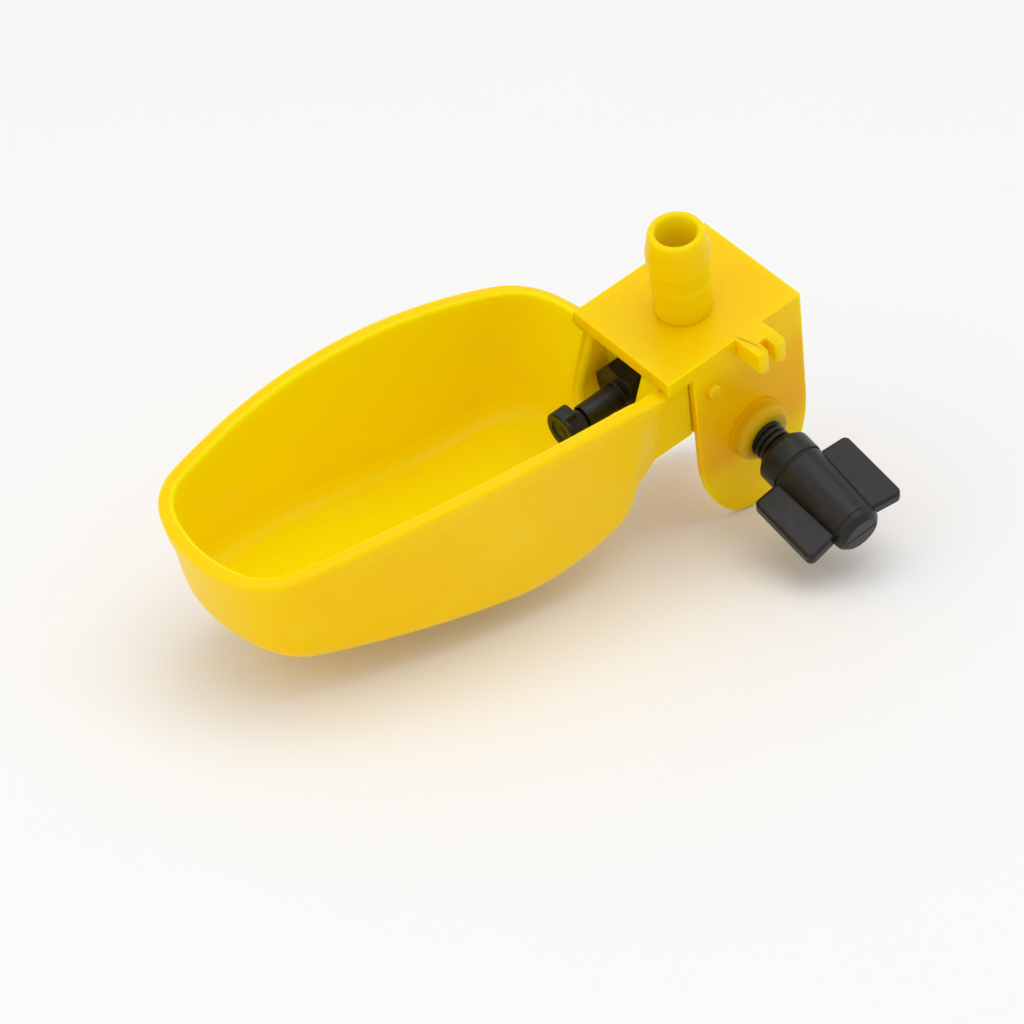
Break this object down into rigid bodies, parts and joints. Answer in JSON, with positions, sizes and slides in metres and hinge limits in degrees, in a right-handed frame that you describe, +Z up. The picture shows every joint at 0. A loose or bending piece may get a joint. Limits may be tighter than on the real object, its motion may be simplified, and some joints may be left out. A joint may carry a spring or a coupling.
{
  "type": "poultry drinking cup",
  "caption": "Yellow drinking cup for poultry with a hose barb, a push-in water nipple and a clamp closed by a wing screw.",
  "frame": {"origin": "on the hose barb's axis at the plate's top face", "axes": "+Z up along the barb, -Y towards the drinking lip, +X towards the wing screw"},
  "size_m": [0.0619, 0.1042, 0.0557],
  "materials": {
    "yellow_plastic": "glossy moulded yellow plastic",
    "black_plastic": "satin black plastic",
    "rubber": "soft black rubber",
    "steel": "bright spring wire"
  },
  "bodies": {
    "frame": {"bracket": "yellow_plastic", "cup": "yellow_plastic", "nipple_body": "black_plastic", "seal_ring": "rubber", "return_spring": "steel"},
    "trigger": {"trigger_head": "black_plastic", "valve_stem": "black_plastic", "valve_seal": "rubber"},
    "screw": {"wing_screw": "black_plastic"}
  },
  "joints": [
    {"name": "trigger_push", "type": "slide", "parent": "frame", "child": "trigger", "axis": [0, 1, 0], "range_m": [0, 0.0012], "stiffness_N_per_m": 400, "springref_m": -0.002, "deforming": ["return_spring"]},
    {"name": "wing_screw_turn", "type": "hinge", "parent": "frame", "child": "screw", "pos_m": [0.011, 0.00325, -0.0215], "axis": [0.9879, -0.0494, -0.1472], "range_deg": [-720, 1080]}
  ]
}
